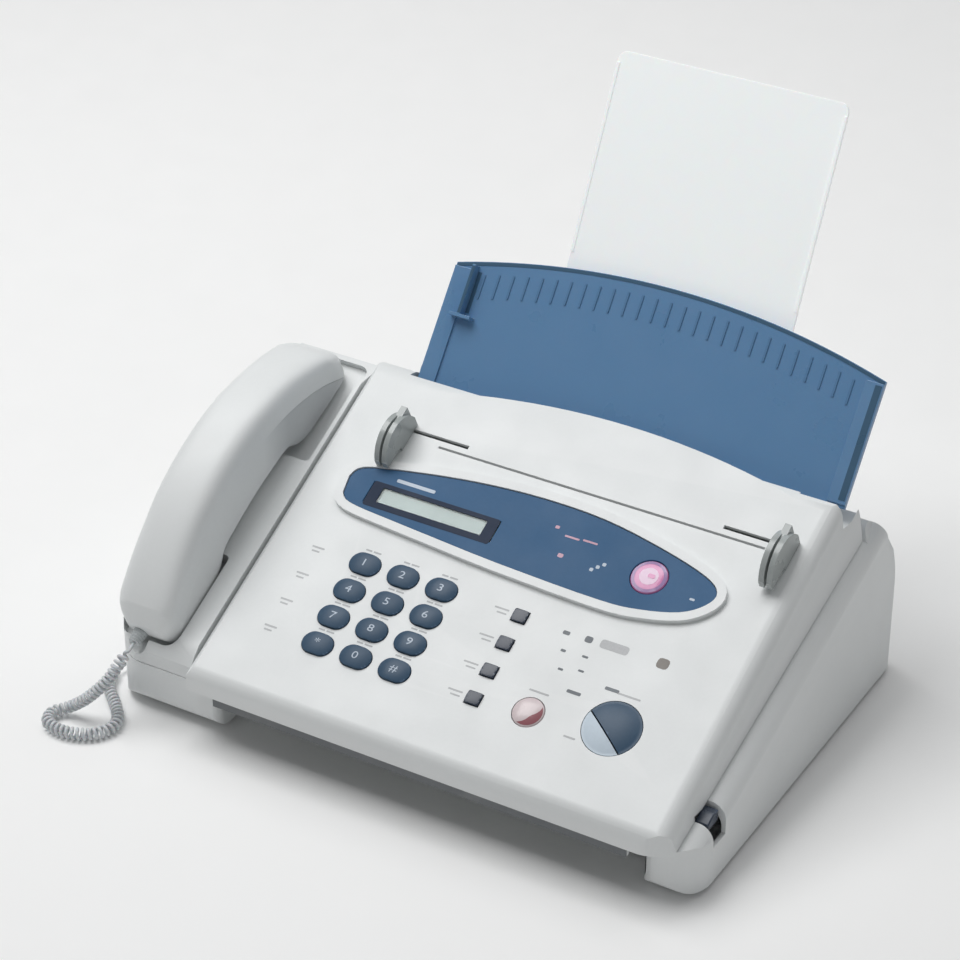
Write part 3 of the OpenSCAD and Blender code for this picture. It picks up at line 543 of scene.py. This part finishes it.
# The lower shell is painted darker at its ear end as shade
dress(lower, "shell", "shell_low_painted_shade", body="handset")
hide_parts("handset_bottom")

# Ribbed sleeve where the cord leaves the handset
boot_rings = []
for step in range(19):
    s = 8 - step * 10 / 18
    r = 5.0 - 1.6 * step / 18 - (0.35 if step % 3 == 2 and step > 4 else 0)
    boot_rings.append([panel(x, s, h) for x, h in circle(cord_exit[0], -2, r, 24)])
boot = loft("cord_boot", boot_rings)
dress(boot, "shell", "trim_grey", body="handset")

# Sound holes in the two ends of the handset, in rings, drawn as black discs: painted shade of the holes
HOLE_R = 0.9
HOLE_GAP = 3.6
holes = []
for centre, radii in ((31, (0, 4, 8)), (184, (0, 3, 6, 9))):
    for r in radii:
        count = 1 if r == 0 else int(2 * math.pi * r / HOLE_GAP)
        for k in range(count):
            a = 2 * math.pi * k / count
            outline = circle(HANDSET_X + r * math.cos(a), centre + r * math.sin(a), HOLE_R, 12)
            holes.append(extruded("hole", outline, CUP_H + 0.1, CUP_H + 0.6, panel))
dress(joined("sound_hole_shade", holes), "black_plastic", body="handset")


# ---- Numbers on the digit keys ----
KEY_RISE = 2.6
KEY_DOME_R = 26
KEY_FIRST = (-63.5, 88)
PITCH_X = 24.8
PITCH_S = 18.35
key_signs = ["1", "2", "3", "4", "5", "6", "7", "8", "9", "*", "0", "#"]


def sign(name, text, size, place, squeeze=1.0):
    """Flat lettering on a curved or sloping face, as a thin inlay."""
    data = bpy.data.curves.new(name, "FONT")
    data.body = text
    data.align_x = "CENTER"
    data.align_y = "CENTER"
    data.size = size
    data.resolution_u = 3
    flat = bpy.data.objects.new(name, data)
    bpy.context.collection.objects.link(flat)
    bpy.context.view_layer.update()
    mesh = bpy.data.meshes.new_from_object(flat.evaluated_get(bpy.context.evaluated_depsgraph_get()))
    bpy.data.objects.remove(flat)
    shape = bmesh.new()
    shape.from_mesh(mesh)
    bmesh.ops.triangulate(shape, faces=shape.faces)
    extra = bmesh.ops.extrude_face_region(shape, geom=shape.faces[:])
    raised = [v for v in extra["geom"] if isinstance(v, bmesh.types.BMVert)]
    tops = set(raised)
    for v in shape.verts:
        v.co = place(v.co.x * squeeze, v.co.y, 0.10 if v in tops else 0.02)
    bmesh.ops.recalc_face_normals(shape, faces=shape.faces)
    shape.to_mesh(mesh)
    shape.free()
    obj = bpy.data.objects.new(name, mesh)
    bpy.context.collection.objects.link(obj)
    return obj


def key_centre(i):
    return KEY_FIRST[0] + PITCH_X * (i % 3), KEY_FIRST[1] - PITCH_S * (i // 3)


for i, (name, text) in enumerate(zip(KEY_NAMES, key_signs)):
    kx, ks = key_centre(i)

    def dome(x, y, lift, kx=kx, ks=ks):
        rise = KEY_RISE - KEY_DOME_R + math.sqrt(KEY_DOME_R ** 2 - x * x - y * y)
        return panel(kx + x, ks + y, rise + lift)

    number = sign("number_" + name, text, 6.4, dome, squeeze=1.25)
    dress(number, "copy_pale", "ink_pale", body=name)


# ---- Printed legends: plain dashes, thin as ink ----
def legend(name, boxes, kind, slot, body, lift=0.0, place=panel):
    """One piece of thin plates, each given by its middle, width and height."""
    plates = [extruded("dash", rounded(x - w / 2, s - h / 2, x + w / 2, s + h / 2, min(w, h) * 0.3, 2),
                       lift + 0.01, lift + 0.07, place) for x, s, w, h in boxes]
    return dress(joined(name, plates), slot, kind, body=body)


dashes = []
for i in range(12):
    kx, ks = key_centre(i)
    dashes += [(kx - 2.5, ks + 9.3, 4, 1.0), (kx + 3.0, ks + 9.3, 5, 1.0)]
for i in range(4):
    row = KEY_FIRST[1] - PITCH_S * i
    dashes += [(24, row + 1.2, 9, 1.0), (25, row - 1.4, 6, 0.9)]
    dashes += [(-95, row + 1.0, 8, 1.1), (-95.5, row - 1.6, 5, 1.0)]
dashes += [(68, 49, 12, 1.1), (115, 63.5, 14, 1.1), (96, 30, 7, 1.1)]
legend("legends", dashes, "ink_grey", "trim_grey", "top_cover")

# ---- Display: dark frame round the glass, and small marks on the oval panel ----
BEZEL_H = 2.2
ring_out = rounded(-84.6, 122.6, -2.4, 139.4, 1.5)
ring_in = rounded(-77.5, 126.6, -9.5, 136.6, 0.8)
low, high = BEZEL_H + 0.01, BEZEL_H + 0.12
steps = ((ring_in, low), (ring_out, low), (ring_out, high), (ring_in, high), (ring_in, low))
frame_rings = [[panel(x, s, h) for x, s in ring] for ring, h in steps]
dress(loft("display_frame", frame_rings, closed=False), "bezel_blue", "mask_navy", body="top_cover")
legend("brand_bar", [(-60, 143.6, 25, 2.2)], "ink_pale", "lcd", "top_cover", lift=BEZEL_H)
legend("lamp_marks", [(30, 146.2, 2.6, 2.0), (41, 142.6, 9, 1.2), (52, 143.4, 9, 1.2), (40, 130, 3.4, 2.6)],
       "ink_pink", "message_pink", "top_cover", lift=BEZEL_H)
dots = [(60.5, 127.6, 2.2, 2.2), (63.2, 130.2, 2.2, 2.2), (66, 132.8, 2.2, 2.2), (121.4, 129, 3, 1.4)]
legend("dial_marks", dots, "ink_pale", "lcd", "top_cover", lift=BEZEL_H)

# ---- Message key: a purple ring and a pale middle on its domed top ----
MESSAGE_AT = (93, 134)


def on_dome(centre, top, radius):
    """A placing function for a domed key, lift above its face."""
    def place(x, s, lift):
        dx, ds = x - centre[0], s - centre[1]
        return panel(x, s, top - radius + math.sqrt(radius ** 2 - dx * dx - ds * ds) + lift)
    return place


def ring_inlay(name, centre, inner, outer, place, n=48):
    """A flat ring, or a disc where inner is 0, laid on a domed face."""
    rings = []
    for lift, radii in ((0.02, (inner, outer)), (0.09, (outer, inner))):
        for r in radii:
            rings.append([place(x, s, lift) for x, s in circle(centre[0], centre[1], max(r, 0.05), n)])
    return loft(name, rings + [rings[0]], closed=False)


message_top = on_dome(MESSAGE_AT, 3.4, 50)
message_rings = (("message_ring", 8.2, 10.0, "ring_purple"), ("message_middle", 0, 5.4, "pink_pale"))
for name, inner, outer, kind in message_rings:
    dress(ring_inlay(name, MESSAGE_AT, inner, outer, message_top), "message_pink", kind, body="message_key")
legend("message_mark", [(94.5, 134.4, 4.2, 2.6)], "message_pink", "message_pink", "message_key", lift=0.1,
       place=message_top)

# ---- Stop key: a dark red crescent on its near right side, painted as the dome's shade ----
STOP_AT = (68, 36)
CRESCENT_R = 8.2
stop_top = on_dome(STOP_AT, 1.8, 26)
crescent = []
for k in range(25):
    a = math.radians(-112 + 150 * k / 24)
    width = 0.15 + 4.4 * math.sin(math.pi * k / 24)
    across = []
    for m in range(5):
        r = CRESCENT_R - width * m / 4
        across.append((STOP_AT[0] + r * math.cos(a), STOP_AT[1] + r * math.sin(a)))
    crescent.append([stop_top(x, s, 0.12) for x, s in across]
                    + [stop_top(x, s, 0.02) for x, s in reversed(across)])
dress(loft("stop_shade_crescent", crescent), "stop_red", "stop_shade_red", body="stop_key")

# ---- Marks printed on the lid: an oval, a square and small dashes ----
legend("oval_mark", [(94, 88.4, 17, 5.4)], "ink_grey", "trim_grey", "top_cover")
legend("square_mark", [(123.3, 88.3, 7, 6.4)], "ink_brown", "trim_grey", "top_cover")
small = [(65, 87.6, 4.2, 2.4), (78.6, 88, 4.6, 4), (68.4, 77, 3, 1.6), (81.5, 77.5, 3.6, 1.4)]
small += [(72.3, 66, 3, 1.4), (83.4, 68.8, 3.4, 1.3), (85.8, 55.4, 8.4, 2.0), (104.6, 64.2, 8.4, 2.0)]
legend("small_marks", small, "ink_dark", "trim_grey", "top_cover")

# ---- The document slot's pale liner, and a dark strip painted under the lid's front edge as shade ----
slot_outline = rounded(-61.4, 155.75, 143.4, 156.85, 0.4, 2)
dress(extruded("slot_liner", slot_outline, -1.6, -0.7, panel), "trim_grey", "slot_grey", body="top_cover")
lip_section = [(-6.7, 25.4), (-6.7, 30.8), (-6.2, 30.8), (-6.2, 25.4)]
front_lip_shade = loft("front_lip_shade", [[case(x, y, z) for y, z in lip_section] for x in (-110.1, 149.1)])
dress(front_lip_shade, "trim_grey", "lip_shade_grey", body="top_cover")

# ---- Paper cover: a row of fine ribs below its curved edge, painted darker than the cover as shade, and a darker rim ----
COVER_LEFT = -101
COVER_W = 272
COVER_MID_H = 91.6
COVER_END_H = 73.4
RIB_COUNT = 27
RIB_PITCH = 9
cover_mid = COVER_LEFT + COVER_W / 2
cover_rise = COVER_MID_H - COVER_END_H
cover_r = ((COVER_W / 2) ** 2 + cover_rise ** 2) / (2 * cover_rise)


def cover_edge(x, down):
    """Height of the cover's curved top edge at x, less a distance down from it."""
    r = cover_r - down
    return COVER_MID_H - cover_r + math.sqrt(r * r - (x - cover_mid) ** 2)


cover_body = node_body["paper_cover"]
ribs = []
for k in range(RIB_COUNT):
    x = COVER_LEFT + 20 + RIB_PITCH * k
    outline = [(x - 0.6, cover_edge(x, 22)), (x + 0.6, cover_edge(x, 22)), (x + 0.6, cover_edge(x, 8)),
               (x - 0.6, cover_edge(x, 8))]
    ribs.append(extruded("rib", outline, 0.0, 0.5, on_cover))
# The ribs' darker blue is painted shade
dress(joined("cover_ribs", ribs), "cover_blue", "rib_shaded_blue", body=cover_body)
xs = [COVER_LEFT + 0.6 + (COVER_W - 1.2) * k / 80 for k in range(81)]
rim = [(x, cover_edge(x, 0.5)) for x in xs] + [(x, cover_edge(x, 2.4)) for x in reversed(xs)]
dress(extruded("cover_rim", rim, 0.02, 0.25, on_cover), "cover_blue", "rim_and_shade_blue", body=cover_body)
# Painted shade: dark strips on the stop rib's top and beside it, and a dark band along the cover's right end
cover_bands = (("cover_stop_face", -87.9, 44.5, -86.1, 73, 6.02),
               ("cover_stop_shade", -85.8, 46, -83.4, 71, 0.02),
               ("cover_end_band", 166.2, 4, 170.2, 70, 1.22))
for name, x0, v0, x1, v1, lift in cover_bands:
    band = extruded(name, [(x0, v0), (x1, v0), (x1, v1), (x0, v1)], lift, lift + 0.08, on_cover)
    dress(band, "cover_blue", "rim_and_shade_blue", body=cover_body)

# ---- Floor and light, in metres ----
FLOOR = 6
floor_corners = [(-FLOOR, -FLOOR, 0), (FLOOR, -FLOOR, 0), (FLOOR, FLOOR, 0), (-FLOOR, FLOOR, 0)]
floor = new_object("floor", floor_corners, [(0, 1, 2, 3)])
floor.data.materials.append(material("floor", (0.96, 0.96, 0.955), 0.6, vary=0.004, grain=200, grain_mm=0.02))

world = bpy.data.worlds.new("world")
world.use_nodes = True
world.node_tree.nodes["Background"].inputs["Color"].default_value = (0.97, 0.985, 1.0, 1)
world.node_tree.nodes["Background"].inputs["Strength"].default_value = 0.23
bpy.context.scene.world = world


def area_light(name, at, aim, size, power, color=(1, 1, 1)):
    data = bpy.data.lights.new(name, "AREA")
    data.shape = "RECTANGLE"
    data.size, data.size_y = size
    data.energy = power
    data.color = color
    obj = bpy.data.objects.new(name, data)
    obj.location = at
    obj.rotation_euler = (Vector(aim) - Vector(at)).to_track_quat("-Z", "Y").to_euler()
    bpy.context.collection.objects.link(obj)


LIGHT_AIM = (0, 0, 0.1)
area_light("key_light", (-0.9, 0.0, 2.1), LIGHT_AIM, (1.5, 1.5), 33)
area_light("top_light", (0.2, 1.0, 2.1), LIGHT_AIM, (1.4, 1.4), 9)
area_light("fill_light", (1.9, -1.4, 1.0), LIGHT_AIM, (1.4, 1.0), 1.0)
bpy.context.scene.view_settings.view_transform = "Standard"
